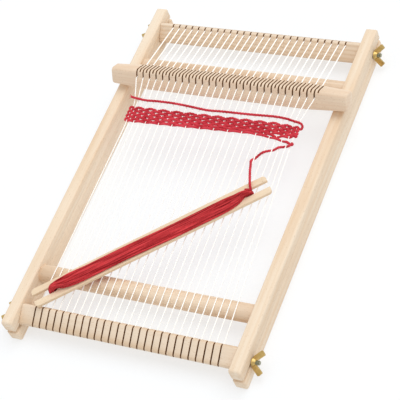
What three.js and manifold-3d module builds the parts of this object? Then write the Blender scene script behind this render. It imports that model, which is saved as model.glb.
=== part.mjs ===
// A small wooden weaving frame with a warp strung on it, a begun cloth, a turning heddle bar and a wound shuttle.
// Millimetres. X runs along the beams, +Y to the far beam, +Z up. The origin is on the table under the middle.
import * as THREE from 'three';
import { mergeVertices } from 'three/addons/utils/BufferGeometryUtils.js';
import Module from 'manifold-3d';

const wasm = await Module();
wasm.setup();

// Side rails
const railLength = 400;
const railHeight = 30;
const railThickness = 12;
const railSpacing = 226;
const railEdgeRound = 2.5;
const railEndRound = 5;
const railSlotPastBolt = 4.5;

// Near and far beams, which turn in the rails' end slots
const beamFromRailEnd = 21.25;
const beamSpan = railLength - 2 * beamFromRailEnd;
const beamSide = 20.5;
const beamEdgeRound = 3;
const nearBeamTilt = 27;
const farBeamTilt = 49;
const runningGap = 0.3;

// Thread slots in both beams
const threadCount = 27;
const threadPitch = 7.5;
const beamSlotWidth = 1.4;
const beamSlotDepth = 5.7;

// Clamping bolts and wing nuts
const boltDiameter = 4;
const boltInBeam = 14;
const boltPastRail = 7.8;
const nutHubRadius = 4.2;
const nutHubHeight = 3.6;
const earReach = 8.3;
const earRise = 7.7;
const earWidth = 4.6;
const earThickness = 2.5;
const nutTurns = { near_right: 30, far_right: 58, near_left: -6, far_left: -10 };

// Cross dowels
const dowelDiameter = 18;
const dowelHeight = 18.1;
const dowelInRail = 6;
const nearDowelFromBeam = 44.7;
const farDowelFromBeam = 51;

// Heddle bar, which lies on the rails and is turned to open the warp
const heddleLength = 258.6;
const heddleFace = 22;
const heddleDepth = 20;
const heddleRound = 4.5;
const heddleTaper = 2;
const heddleTaperLength = 42;
const heddleEndRound = 2.4;
const heddleFromFarBeam = 81.2;
const heddleShift = 2.3;
const heddleCutShift = 1.6;
const heddleLean = 30;
const heddleSlotWidth = 1.5;
const deepCut = 9.6;
const shallowCut = 2.8;

// Warp thread and weft yarn
const threadDiameter = 1;
const threadInSlot = 8;
const touchGap = 0.3;
const yarnDiameter = 2.5;

// Begun cloth: each edge point is a share of the half width and its distance before the bend at the heddle bar
const clothNearEdge = [[-1, 51.5], [-0.06, 48.3], [0.4, 46.5], [0.72, 48.3], [1, 52.3]];
const clothFarEdge = [[1, 30.5], [0, 32], [-1, 33.5]];
const clothThickness = 3.4;
const threadPastCloth = 3;
const drawInPower = 8;
const drawInLeft = 9.2;
const drawInRight = 6.2;

// Shuttle with its winding
const shuttleLength = 246.5;
const shuttleWidth = 20;
const shuttleThickness = 3.5;
const shuttleCorner = 3.5;
const shuttleAngle = 39.9;
const shuttleX = -5.6;
const shuttleY = 81.1;
const notchWidth = 7.4;
const notchDepth = 26;
const woundDiameter = 1.3;
const woundPitch = 2.05;
const stackCount = 3;
const stackHeight = 3;
const rowPitch = 1.85;
const rowShift = -1.5;
const windingArch = 1.2;
const fanLength = 62;
const runSteps = 10;
const turnSteps = 4;

const deg = THREE.MathUtils.degToRad;

const woodMaterial = new THREE.MeshStandardMaterial({ color: '#e3c49c', roughness: 0.62, metalness: 0 });
const heddleMaterial = new THREE.MeshStandardMaterial({ color: '#d3b48c', roughness: 0.6, metalness: 0 });
const shuttleMaterial = new THREE.MeshStandardMaterial({ color: '#d9bc86', roughness: 0.6, metalness: 0 });
const brassMaterial = new THREE.MeshStandardMaterial({ color: '#b8892f', roughness: 0.35, metalness: 1 });
const steelMaterial = new THREE.MeshStandardMaterial({ color: '#9b9c8c', roughness: 0.4, metalness: 1 });
const threadMaterial = new THREE.MeshStandardMaterial({ color: '#f4f1ea', roughness: 0.85, metalness: 0 });
const yarnMaterial = new THREE.MeshStandardMaterial({ color: '#c01223', roughness: 0.9, metalness: 0 });

const group = new THREE.Group();

function addPiece(name, geometry, material, parent = group) {
  const mesh = new THREE.Mesh(geometry, material);
  mesh.name = name;
  parent.add(mesh);
  return mesh;
}

// Closed solids for cutting and joining

function toSolid(geometry) {
  const bare = geometry.clone();
  bare.deleteAttribute('normal');
  bare.deleteAttribute('uv');
  const merged = mergeVertices(bare, 1e-4);
  return new wasm.Manifold(new wasm.Mesh({
    numProp: 3,
    vertProperties: new Float32Array(merged.attributes.position.array),
    triVerts: new Uint32Array(merged.index.array),
  }));
}

function toGeometry(solid) {
  const mesh = solid.getMesh();
  const geometry = new THREE.BufferGeometry();
  geometry.setAttribute('position', new THREE.BufferAttribute(new Float32Array(mesh.vertProperties), 3));
  geometry.setIndex(new THREE.BufferAttribute(new Uint32Array(mesh.triVerts), 1));
  geometry.computeVertexNormals();
  return geometry;
}

function cut(geometry, cutters) {
  return toGeometry(cutters.reduce((solid, cutter) => solid.subtract(toSolid(cutter)), toSolid(geometry)));
}

function join(geometries) {
  return toGeometry(geometries.map(toSolid).reduce((solid, other) => solid.add(other)));
}

function boxAt(sizeX, sizeY, sizeZ, x, y, z) {
  return new THREE.BoxGeometry(sizeX, sizeY, sizeZ).translate(x, y, z);
}

function rodAlongX(radius, length, x, y, z, sides = 16) {
  return new THREE.CylinderGeometry(radius, radius, length, sides).rotateZ(Math.PI / 2).translate(x, y, z);
}

function roundedRect(width, height, radius, arcSteps) {
  const points = [];
  for (let corner = 0; corner < 4; corner += 1) {
    const signX = corner === 0 || corner === 3 ? 1 : -1;
    const signY = corner < 2 ? 1 : -1;
    for (let step = 0; step <= arcSteps; step += 1) {
      const angle = (corner + step / arcSteps) * Math.PI / 2;
      const x = signX * (width / 2 - radius) + radius * Math.cos(angle);
      const y = signY * (height / 2 - radius) + radius * Math.sin(angle);
      points.push(new THREE.Vector2(x, y));
    }
  }
  return points;
}

// A solid between equal rings of points, closed by flat ends

function loft(rings) {
  const sides = rings[0].length;
  const positions = rings.flat().flatMap((point) => [point.x, point.y, point.z]);
  const index = [];
  for (let ring = 0; ring < rings.length - 1; ring += 1) {
    for (let side = 0; side < sides; side += 1) {
      const a = ring * sides + side;
      const b = ring * sides + (side + 1) % sides;
      index.push(a, b, a + sides, b, b + sides, a + sides);
    }
  }
  const last = (rings.length - 1) * sides;
  for (let side = 1; side < sides - 1; side += 1) {
    index.push(0, side + 1, side);
    index.push(last, last + side, last + side + 1);
  }
  const geometry = new THREE.BufferGeometry();
  geometry.setAttribute('position', new THREE.Float32BufferAttribute(positions, 3));
  geometry.setIndex(index);
  geometry.computeVertexNormals();
  return geometry;
}

// A curve that bends only at its own points, for tubes with few rings

class Route extends THREE.Curve {
  constructor(points) {
    super();
    this.points = points;
  }

  getSpacedPoints() {
    return this.points.map((point) => point.clone());
  }

  getTangentAt(share, target = new THREE.Vector3()) {
    const at = Math.round(share * (this.points.length - 1));
    const before = this.points[Math.max(at - 1, 0)];
    const here = this.points[at];
    const after = this.points[Math.min(at + 1, this.points.length - 1)];
    const into = here.clone().sub(before).normalize();
    const outOf = after.clone().sub(here).normalize();
    return target.copy(into.add(outOf)).normalize();
  }
}

function tubeThrough(points, diameter, sides) {
  const section = new THREE.Shape();
  for (let side = 0; side < sides; side += 1) {
    const angle = 2 * Math.PI * side / sides;
    const x = diameter / 2 * Math.cos(angle);
    const y = diameter / 2 * Math.sin(angle);
    if (side === 0) section.moveTo(x, y);
    else section.lineTo(x, y);
  }
  section.closePath();
  const path = new Route(points);
  return new THREE.ExtrudeGeometry(section, { steps: points.length - 1, extrudePath: path, curveSegments: 1 });
}

function smoothTube(points, diameter, sides, steps) {
  const curve = new THREE.CatmullRomCurve3(points);
  return tubeThrough(curve.getSpacedPoints(steps), diameter, sides);
}

// Places shared by the pieces

const railInner = railSpacing / 2;
const railOuter = railInner + railThickness;
const axisHeight = railHeight / 2;
const beamY = beamSpan / 2;
const beamLength = railSpacing - 2 * runningGap;
const nearDowelY = -beamY + nearDowelFromBeam;
const farDowelY = beamY - farDowelFromBeam;
const threadX = Array.from({ length: threadCount }, (_, i) => (i - (threadCount - 1) / 2) * threadPitch);

// Side rails: rounded boards with an open slot in each end and blind holes for the dowels

function railGeometry(side) {
  const outline = new THREE.Shape(roundedRect(railLength, railHeight, railEndRound, 3));
  const board = new THREE.ExtrudeGeometry(outline, {
    depth: railThickness - 2 * railEdgeRound,
    bevelEnabled: true,
    bevelThickness: railEdgeRound,
    bevelSize: railEdgeRound,
    bevelOffset: -railEdgeRound,
    bevelSegments: 2,
    curveSegments: 3,
  });
  board.translate(0, 0, railEdgeRound - railThickness / 2);
  board.rotateX(Math.PI / 2).rotateZ(Math.PI / 2);
  board.translate(side * (railInner + railThickness / 2), 0, axisHeight);
  const slotHeight = boltDiameter + 2 * runningGap;
  const slotLength = beamFromRailEnd + railSlotPastBolt;
  const cutters = [];
  for (const end of [-1, 1]) {
    const slotY = end * (railLength / 2 - slotLength / 2 + 1);
    const roundY = end * (railLength / 2 - slotLength);
    const x = side * (railInner + railThickness / 2);
    cutters.push(boxAt(railThickness + 2, slotLength + 2, slotHeight, x, slotY, axisHeight));
    cutters.push(rodAlongX(slotHeight / 2, railThickness + 2, x, roundY, axisHeight, 12));
  }
  for (const y of [nearDowelY, farDowelY]) {
    const x = side * (railInner + dowelInRail / 2 - 0.5);
    cutters.push(rodAlongX(dowelDiameter / 2 + touchGap, dowelInRail + 1, x, y, dowelHeight, 20));
  }
  return cut(board, cutters);
}

addPiece('left_rail', railGeometry(-1), woodMaterial);
addPiece('right_rail', railGeometry(1), woodMaterial);

// Cross dowels, glued into the rails

function dowelGeometry(y) {
  const length = railSpacing + 2 * (dowelInRail - touchGap);
  return rodAlongX(dowelDiameter / 2, length, 0, y, dowelHeight, 20);
}

addPiece('near_dowel', dowelGeometry(nearDowelY), woodMaterial);
addPiece('far_dowel', dowelGeometry(farDowelY), woodMaterial);

// Beams: rounded square bars with a row of saw cuts across the face that is up in their own frame

function beamGeometry() {
  const outline = new THREE.Shape(roundedRect(beamSide, beamSide, beamEdgeRound, 3));
  const bar = new THREE.ExtrudeGeometry(outline, { depth: beamLength, bevelEnabled: false });
  bar.translate(0, 0, -beamLength / 2).rotateX(Math.PI / 2).rotateZ(Math.PI / 2);
  const cutHeight = beamSlotDepth + 1;
  const cutZ = beamSide / 2 - beamSlotDepth + cutHeight / 2;
  const cutters = threadX.map((x) => boxAt(beamSlotWidth, beamSide + 2, cutHeight, x, 0, cutZ));
  for (const side of [-1, 1]) {
    const x = side * (beamLength / 2 - boltInBeam / 2 + 0.5);
    cutters.push(rodAlongX(boltDiameter / 2 + touchGap, boltInBeam + 1, x, 0, 0));
  }
  return cut(bar, cutters);
}

function beamFrame(y, turn) {
  const frame = new THREE.Group();
  frame.position.set(0, y, axisHeight);
  frame.rotation.x = deg(turn);
  group.add(frame);
  frame.updateMatrixWorld(true);
  return frame;
}

const nearFrame = beamFrame(-beamY, nearBeamTilt);
const farFrame = beamFrame(beamY, -farBeamTilt);
addPiece('near_beam', beamGeometry(), woodMaterial, nearFrame);
addPiece('far_beam', beamGeometry(), woodMaterial, farFrame);

// Bolts in the beams' ends, out through the rails' slots, each with a two-eared nut

function boltGeometry(side) {
  const length = boltInBeam - touchGap + runningGap + railThickness + boltPastRail;
  const shank = rodAlongX(boltDiameter / 2, length, 0, 0, 0, 12);
  const outerEnd = railOuter + boltPastRail;
  return shank.translate(side * (outerEnd - length / 2), 0, 0);
}

function nutGeometry() {
  const hub = new THREE.CylinderGeometry(nutHubRadius - 0.8, nutHubRadius, nutHubHeight, 16);
  hub.rotateZ(-Math.PI / 2).translate(nutHubHeight / 2, 0, 0);
  const foot = new THREE.Vector2(nutHubHeight / 2, nutHubRadius - 1.2);
  const tip = new THREE.Vector2(earRise, earReach);
  const length = tip.distanceTo(foot) + earWidth / 2;
  const lean = Math.atan2(tip.y - foot.y, tip.x - foot.x);
  const ears = [-1, 1].map((side) => {
    const outline = new THREE.Shape(roundedRect(length, earWidth, 1.2, 2));
    const ear = new THREE.ExtrudeGeometry(outline, { depth: earThickness, bevelEnabled: false });
    ear.translate(length / 2, 0, -earThickness / 2);
    ear.rotateZ(lean).translate(foot.x, foot.y, 0);
    if (side < 0) ear.rotateX(Math.PI);
    return ear;
  });
  return cut(join([hub, ...ears]), [rodAlongX(boltDiameter / 2 + runningGap, 3 * earRise, 0, 0, 0)]);
}

for (const [name, turn] of Object.entries(nutTurns)) {
  const side = name.endsWith('right') ? 1 : -1;
  const y = name.startsWith('near') ? -beamY : beamY;
  const bolt = addPiece(`${name}_bolt`, boltGeometry(side), steelMaterial);
  bolt.position.set(0, y, axisHeight);
  const nut = addPiece(`${name}_wing_nut`, nutGeometry(), brassMaterial);
  nut.position.set(side * (railOuter + touchGap), y, axisHeight);
  nut.rotation.set(deg(turn), 0, side > 0 ? 0 : Math.PI);
}

// Heddle bar: leans back on the rails and tapers to both ends, with deep and shallow cuts in turn

function heddleInset(distance) {
  const along = heddleLength / 2 - Math.abs(distance);
  const taper = heddleTaper * Math.max(0, 1 - along / heddleTaperLength);
  const roundShare = Math.max(0, 1 - along / heddleEndRound);
  return taper + heddleEndRound * (1 - Math.sqrt(1 - roundShare * roundShare));
}

function heddleRing(distance) {
  const inset = heddleInset(distance);
  const radius = Math.max(heddleRound - inset / 2, 1);
  const outline = roundedRect(heddleDepth - 2 * inset, heddleFace - 2 * inset, radius, 4);
  return outline.map((point) => new THREE.Vector3(distance, point.x, point.y));
}

function heddleGeometry() {
  const half = heddleLength / 2;
  const ends = [0.05, 0.3, 0.65, 1].map((share) => half - share * heddleEndRound);
  const stations = [...ends, half - heddleTaperLength];
  const distances = [...stations.map((distance) => -distance), ...stations.reverse()];
  const bar = loft(distances.map(heddleRing));
  const cutters = [];
  for (const x of threadX) {
    for (const [offset, depth] of [[0, deepCut], [threadPitch / 2, shallowCut]]) {
      const height = depth + 2;
      const z = heddleFace / 2 - depth + height / 2;
      const cutX = x + offset + heddleCutShift - heddleShift;
      cutters.push(boxAt(heddleSlotWidth, heddleDepth + 2, height, cutX, 0, z));
    }
  }
  return cut(bar, cutters);
}

const restInset = heddleInset(railInner - heddleShift);
const lean = deg(heddleLean);
const cornerDepth = heddleDepth / 2 - heddleRound;
const cornerHeight = heddleFace / 2 - heddleRound;
const lowReach = cornerDepth * Math.sin(lean) + cornerHeight * Math.cos(lean) + heddleRound;
const heddleY = beamY - heddleFromFarBeam;
const heddleFrame = new THREE.Group();
heddleFrame.position.set(heddleShift, heddleY, railHeight + touchGap + lowReach - restInset);
heddleFrame.rotation.x = -lean;
group.add(heddleFrame);
heddleFrame.updateMatrixWorld(true);
addPiece('heddle_bar', heddleGeometry(), heddleMaterial, heddleFrame);

// Warp: every thread lies in a slot of both beams and bends over the front edge of a deep cut

const threadLift = threadDiameter / 2 + touchGap;

function inFrame(frame, y, z) {
  return new THREE.Vector3(0, y, z).applyMatrix4(frame.matrixWorld).setX(0);
}

const slotFloor = beamSide / 2 - beamSlotDepth;
const nearEnd = inFrame(nearFrame, beamSide / 2 - threadInSlot, slotFloor + threadLift);
const nearBend = inFrame(nearFrame, beamSide / 2 + threadLift / 2, slotFloor + threadLift);
const farBend = inFrame(farFrame, -beamSide / 2 - threadLift / 2, slotFloor + threadLift);
const farEnd = inFrame(farFrame, threadInSlot - beamSide / 2, slotFloor + threadLift);
const cutFloor = heddleFace / 2 - deepCut;
const heddleBend = inFrame(heddleFrame, -heddleDepth / 2 - threadLift, cutFloor + threadLift / 2);

const heddleExit = heddleBend.clone().lerp(farBend, 1.3 * heddleDepth / heddleBend.distanceTo(farBend));

const warpSlope = Math.atan2(heddleBend.z - nearBend.z, heddleBend.y - nearBend.y);
const warpFrame = new THREE.Group();
warpFrame.position.copy(nearBend);
warpFrame.rotation.x = warpSlope;
group.add(warpFrame);
warpFrame.updateMatrixWorld(true);

const warpLength = nearBend.distanceTo(heddleBend);
const clothStart = warpLength - Math.max(...clothNearEdge.map((point) => point[1])) - threadPastCloth;
const clothEnd = warpLength - Math.min(...clothFarEdge.map((point) => point[1])) + threadPastCloth;

function drawnIn(x) {
  const share = Math.abs(x) / threadX[threadCount - 1];
  const pull = share ** drawInPower * (x < 0 ? drawInLeft : -drawInRight);
  return x + heddleCutShift * clothEnd / warpLength + pull;
}

function onWarp(x, along, up = 0) {
  return new THREE.Vector3(x, along, up).applyMatrix4(warpFrame.matrixWorld);
}

function threadPoints(x) {
  const clothX = drawnIn(x);
  const start = nearEnd.clone().setX(x);
  const end = farEnd.clone().setX(x);
  const points = [start, nearBend.clone().setX(x), onWarp(clothX, clothStart), onWarp(clothX, clothEnd)];
  points.push(heddleBend.clone().setX(x + heddleCutShift), heddleExit.clone().setX(x + heddleCutShift));
  points.push(farBend.clone().setX(x), end);
  return points;
}

function threadGeometry(x, diameter) {
  return tubeThrough(threadPoints(x), diameter, 6);
}

threadX.forEach((x, i) => {
  const number = String(i + 1).padStart(2, '0');
  addPiece(`warp_thread_${number}`, threadGeometry(x, threadDiameter), threadMaterial);
});

// Begun cloth: a narrow band of red weft rows, with the warp running through it

const leftEdge = drawnIn(threadX[0]) - yarnDiameter;
const rightEdge = drawnIn(threadX[threadCount - 1]) + yarnDiameter;

function clothGeometry() {
  const corners = [...clothNearEdge, ...clothFarEdge];
  const points = corners.map(([share, before]) => {
    return new THREE.Vector2(share * (share < 0 ? -leftEdge : rightEdge), warpLength - before);
  });
  const outline = new THREE.Shape(points);
  const bevel = clothThickness / 4;
  const band = new THREE.ExtrudeGeometry(outline, {
    depth: clothThickness - 2 * bevel,
    bevelEnabled: true,
    bevelThickness: bevel,
    bevelSize: bevel,
    bevelOffset: -bevel,
    bevelSegments: 1,
  });
  band.translate(0, 0, bevel - clothThickness / 2).applyMatrix4(warpFrame.matrixWorld);
  return cut(band, threadX.map((x) => threadGeometry(x, threadDiameter + 2 * touchGap)));
}

addPiece('woven_band', clothGeometry(), yarnMaterial);

// Loose yarn: from the cloth's far right corner, back to the left over the warp, to a bare end.
// Each point is a place across the warp, a distance before the bend at the heddle bar, and a height.

const yarnUp = threadDiameter / 2 + touchGap + yarnDiameter / 2;
const looseRoute = [
  [rightEdge + 2.6 * touchGap, 34.3, 0],
  [rightEdge + 2, 34.2, 0],
  [rightEdge + 2.9, 32.5, 0.7],
  [rightEdge + 2, 30.4, 1.8],
  [rightEdge - 0.4, 29, 2.3],
  [92, 28.4, 2.3],
  [88.8, 27.8, 2.1],
  [84.2, 26.75, 1.95],
  [79.8, 25.9, 1.9],
  [67, 25.2, 1.9],
  [42, 26.3, 1.9],
  [12, 27.1, 1.9],
  [-5, 27.8, 1.9],
  [-24, 26.2, 1.9],
  [-42, 25, 1.9],
  [-60, 24.95, 1.9],
  [-73, 25.6, 1.9],
  [-83, 24.9, 1.9],
  [-90.9, 23.8, 1.9],
];
const loosePoints = looseRoute.map(([x, before, up]) => onWarp(x, warpLength - before, up / 1.9 * yarnUp));
addPiece('loose_yarn', smoothTube(loosePoints, yarnDiameter, 8, 84), yarnMaterial);

// Shuttle: a flat stick with a notch in each end, lying slantwise on the warp

const shuttleFrame = new THREE.Group();
const firstLayer = shuttleThickness / 2 + touchGap + woundDiameter / 2;
const windingReach = firstLayer + (stackHeight - 1) * woundPitch + woundDiameter / 2;
const shuttleUp = threadDiameter / 2 + touchGap + windingReach;
shuttleFrame.position.set(shuttleX, shuttleY, shuttleUp);
shuttleFrame.rotation.z = deg(shuttleAngle);
warpFrame.add(shuttleFrame);

function shuttleGeometry() {
  const outline = new THREE.Shape(roundedRect(shuttleLength, shuttleWidth, shuttleCorner, 3));
  const stick = new THREE.ExtrudeGeometry(outline, { depth: shuttleThickness, bevelEnabled: false });
  stick.translate(0, 0, -shuttleThickness / 2);
  const through = 3 * shuttleThickness;
  const straight = notchDepth - notchWidth / 2;
  const cutters = [-1, 1].flatMap((end) => {
    const x = end * (shuttleLength / 2 - straight / 2 + 1);
    const roundX = end * (shuttleLength / 2 - straight);
    const round = new THREE.CylinderGeometry(notchWidth / 2, notchWidth / 2, through, 16);
    return [boxAt(straight + 2, notchWidth, through, x, 0, 0), round.rotateX(Math.PI / 2).translate(roundX, 0, 0)];
  });
  return cut(stick, cutters);
}

addPiece('shuttle', shuttleGeometry(), shuttleMaterial, shuttleFrame);

// Winding: one yarn wound lengthwise through both notches. At a notch the strands lie in stacks,
// and each stack turns over into a flat row along the stick.

const strandCount = stackCount * stackHeight;
const turnCentre = shuttleLength / 2 - notchDepth + woundDiameter;

function strandPlace(slot, fan) {
  const stack = Math.floor(slot / stackHeight) - (stackCount - 1) / 2;
  const level = slot % stackHeight - (stackHeight - 1) / 2;
  const turn = fan * Math.PI / 2;
  const pitch = THREE.MathUtils.lerp(woundPitch, rowPitch, fan);
  const spread = pitch * (1 + (stackHeight - 1) * Math.sin(turn));
  const sideways = stack * spread + level * pitch * Math.sin(turn) + rowShift * fan;
  const middle = (stackHeight - 1) / 2 * woundPitch;
  const row = slot - (strandCount - 1) / 2;
  const arch = windingArch * fan ** 4 * (1 - (2 * row / strandCount) ** 2);
  return { sideways, up: firstLayer + (middle + level * pitch) * Math.cos(turn) + arch };
}

function runPoints(slotFrom, slotTo, side, direction) {
  return Array.from({ length: runSteps + 1 }, (_, step) => {
    const along = -Math.cos(Math.PI * step / runSteps);
    const fan = THREE.MathUtils.smoothstep(turnCentre * (1 - Math.abs(along)), 0, fanLength);
    const shift = THREE.MathUtils.smoothstep(along, -0.35, 0.35);
    const from = strandPlace(slotFrom, fan);
    const to = strandPlace(slotTo, fan);
    const sideways = THREE.MathUtils.lerp(from.sideways, to.sideways, shift);
    const up = THREE.MathUtils.lerp(from.up, to.up, shift);
    return new THREE.Vector3(direction * turnCentre * along, sideways, side * up);
  });
}

function turnPoints(slot, end) {
  const place = strandPlace(slot, 0);
  return Array.from({ length: turnSteps - 1 }, (_, step) => {
    const angle = Math.PI * (step + 1) / turnSteps;
    const x = end * (turnCentre + place.up * Math.sin(angle));
    return new THREE.Vector3(x, place.sideways, -end * place.up * Math.cos(angle));
  });
}

function windingPoints() {
  const points = [];
  for (let slot = 0; slot < strandCount; slot += 1) {
    if (slot > 0) points.push(...runPoints(slot - 1, slot, 1, -1), ...turnPoints(slot, -1));
    points.push(...runPoints(slot, slot, -1, 1), ...turnPoints(slot, 1));
  }
  return points.slice(0, 1 - turnSteps / 2);
}

// Least distance between stretches of a tube's middle line that are more than a few steps apart

function leastGap(points, diameter, apart) {
  const fine = [];
  for (let i = 0; i < points.length - 1; i += 1) {
    for (let k = 0; k < 6; k += 1) fine.push(points[i].clone().lerp(points[i + 1], k / 6));
  }
  let least = Infinity;
  for (let i = 0; i < fine.length; i += 1) {
    for (let j = i + apart * 6; j < fine.length; j += 1) {
      least = Math.min(least, fine[i].distanceTo(fine[j]));
    }
  }
  return least - diameter;
}

const wound = windingPoints();
console.log(`winding: ${strandCount} loops, least gap ${leastGap(wound, woundDiameter, 4).toFixed(2)} mm`);
addPiece('winding', tubeThrough(wound, woundDiameter, 6), yarnMaterial, shuttleFrame);

// Tail: the working yarn from the cloth's near right corner, over the stick's edge and down to the winding's end.
// Each cloth point is a place across the warp, a share of the way to the stick's edge, and a height.

shuttleFrame.updateWorldMatrix(true, false);
const windingEnd = wound[wound.length - 1];
const overStick = shuttleThickness / 2 + touchGap + yarnDiameter / 2;
const weaveUp = yarnUp + touchGap;
const tailStart = warpLength - clothNearEdge[clothNearEdge.length - 1][1] - 2 * touchGap;
const stickEdge = new THREE.Vector3(110.2, 19.5, 0).applyMatrix4(shuttleFrame.matrix).y;
const tailReach = tailStart - stickEdge;
const clothTail = [
  [rightEdge - 1.2, -0.0041, 2.5],
  [92.7, 0.0459, 2.5],
  [91.5, 0.0486, 1.7],
  [88.2, 0.0186, -weaveUp],
  [85.4, 0.0767, 0],
  [82.3, 0.1338, weaveUp],
  [78.9, 0.1524, 0],
  [75.7, 0.1608, -weaveUp],
  [72.2, 0.2294, 0],
  [68.6, 0.3136, weaveUp],
  [64.9, 0.3563, 0],
  [61.1, 0.427, -weaveUp],
  [59.2, 0.51, -0.5],
  [60.1, 0.585, 1.9],
  [62.6, 0.715, 4.6],
  [64.9, 0.845, 7.4],
];
const stickTail = [
  [111.5, 19, overStick - 1.2],
  [109.3, 12, overStick + 0.6],
  [107.4, 6.4, overStick + 1.1],
  [106.2, 2.8, overStick - 0.2],
];
const tailPoints = clothTail.map(([x, share, up]) => onWarp(x, tailStart - share * tailReach, up));
for (const [x, y, z] of stickTail) {
  tailPoints.push(new THREE.Vector3(x, y, z).applyMatrix4(shuttleFrame.matrixWorld));
}
tailPoints.push(windingEnd.clone().add(new THREE.Vector3(0, 0, touchGap)).applyMatrix4(shuttleFrame.matrixWorld));
addPiece('tail_yarn', smoothTube(tailPoints, yarnDiameter, 8, 48), yarnMaterial);

export default group;
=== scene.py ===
import bpy
import bmesh
import math
import random
from mathutils import Matrix, Vector


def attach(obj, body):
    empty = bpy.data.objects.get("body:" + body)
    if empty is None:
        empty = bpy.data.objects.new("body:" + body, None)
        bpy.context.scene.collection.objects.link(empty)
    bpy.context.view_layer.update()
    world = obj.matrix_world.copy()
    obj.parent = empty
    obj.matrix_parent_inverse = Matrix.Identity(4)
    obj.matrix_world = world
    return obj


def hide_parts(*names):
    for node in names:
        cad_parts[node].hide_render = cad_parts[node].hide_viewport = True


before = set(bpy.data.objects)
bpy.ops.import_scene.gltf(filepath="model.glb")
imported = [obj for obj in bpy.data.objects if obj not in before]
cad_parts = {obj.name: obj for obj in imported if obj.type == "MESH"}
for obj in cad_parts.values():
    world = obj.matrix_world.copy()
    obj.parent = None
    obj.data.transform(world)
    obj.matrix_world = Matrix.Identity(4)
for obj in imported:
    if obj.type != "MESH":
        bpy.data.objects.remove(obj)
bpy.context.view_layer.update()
mm = 0.001


def linearColour(code):
    # "#rrggbb" as the eye sees it, turned into the light values that the shader wants
    channels = [int(code[i:i + 2], 16) / 255 for i in (1, 3, 5)]
    return tuple(c / 12.92 if c <= 0.04045 else ((c + 0.055) / 1.055) ** 2.4 for c in channels) + (1.0,)


def addObject(name, data):
    thing = bpy.data.objects.new(name, data)
    bpy.context.scene.collection.objects.link(thing)
    return thing


def smoothFaces(mesh, sharp=None):
    for face in mesh.polygons:
        face.use_smooth = True
    if sharp:
        mesh.set_sharp_from_angle(angle=math.radians(sharp))


def setInputs(tree, node, inputs):
    for key, value in inputs.items():
        if isinstance(value, bpy.types.NodeSocket):
            tree.links.new(value, node.inputs[key])
        else:
            node.inputs[key].default_value = value


def addNode(tree, kind, inputs=None, **settings):
    node = tree.nodes.new(kind)
    for key, value in settings.items():
        setattr(node, key, value)
    setInputs(tree, node, inputs or {})
    return node


def newMaterial(name):
    material = bpy.data.materials.new(name)
    material.use_nodes = True
    return material, material.node_tree, material.node_tree.nodes["Principled BSDF"]


# The camera stands where the photograph was taken from
camera = {
    "place": (0.61888, -0.6902, 1.10148),
    "right": (0.891257, 0.357194, -0.279417),
    "up": (-0.142428, 0.805431, 0.575323),
    "lens": 131.42,
}


def addCamera():
    data = bpy.data.cameras.new("photoCamera")
    data.lens = camera["lens"]
    data.sensor_width = 36
    data.clip_start = 0.05
    eye = addObject("photoCamera", data)
    right, up = Vector(camera["right"]), Vector(camera["up"])
    turn = Matrix((right, up, right.cross(up))).transposed()
    eye.matrix_world = Matrix.Translation(camera["place"]) @ turn.to_4x4()
    bpy.context.scene.camera = eye


addCamera()
print("camera ready")


# The warp plane and the stick's own frame, in millimetres
warp = {
    "origin": (0, -171.6896, 24.6019),  # where the threads leave the near beam
    "slope": 5.35,
    "threads": 27,
    "pitch": 7.5,
    "heddleShift": 1.6,
    "drawInLeft": 9.2,
    "drawInRight": 6.2,
    "drawInPower": 8,
    "clothSpan": (206.63, 234.43),
    "clothEase": (3, 1),  # how far before the cloth's edges the threads' spots lie
    "heddleAt": 261.93,
    "start": (-179.17, 20.79),
    "nearBend": (-175.4, 22.9),
    "heddle": (89.1, 49.02),
    "settle": (0, -0.6, -0.05),  # just before the heddle bar
    "leaves": (114.27, 42.5),
    "far": (175.8, 26.55),
    "farBend": (178.7, 23.6),
    "end": (181.31, 20.21),
}
stick = {
    "origin": (-5.6, 81.1, 8.25),  # on the warp plane
    "turn": 39.9,
    "length": 246.5,
    "width": 20,
    "thickness": 3.5,
    "cornerRound": 3.5,
    "notchWidth": 7.4,
    "notchDepth": 26,
    "edge": 0.5,
}
warpMatrix = Matrix.Translation(warp["origin"]) @ Matrix.Rotation(math.radians(warp["slope"]), 4, "X")
stickMatrix = warpMatrix @ Matrix.Translation(stick["origin"])
stickMatrix = stickMatrix @ Matrix.Rotation(math.radians(stick["turn"]), 4, "Z")


def onWarp(x, along, up=0.0):
    return warpMatrix @ Vector((x, along, up))


def onStick(x, y, z):
    return stickMatrix @ Vector((x, y, z))


def smoothLine(points, step):
    # A soft curve through the points, then stations an equal step apart
    points = [Vector(p) for p in points]
    ends = [2 * points[0] - points[1], *points, 2 * points[-1] - points[-2]]
    fine = []
    for a, b, c, d in zip(ends, ends[1:], ends[2:], ends[3:]):
        count = max(2, round((c - b).length / 0.25))
        for k in range(count):
            t = k / count
            fine.append(0.5 * (2 * b + (c - a) * t + (2 * a - 5 * b + 4 * c - d) * t ** 2
                               + (3 * b - a - 3 * c + d) * t ** 3))
    fine.append(points[-1])
    return evenLine(fine, step)


def evenLine(fine, step):
    reach = [0.0]
    for a, b in zip(fine, fine[1:]):
        reach.append(reach[-1] + (b - a).length)
    count = max(2, round(reach[-1] / step))
    out, k = [], 0
    for i in range(count + 1):
        want = reach[-1] * i / count
        while k < len(fine) - 2 and reach[k + 1] < want:
            k += 1
        share = (want - reach[k]) / max(reach[k + 1] - reach[k], 1e-9)
        out.append(fine[k].lerp(fine[k + 1], min(share, 1)))
    return out


def lineLength(points):
    return sum((b - a).length for a, b in zip(points, points[1:]))


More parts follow.
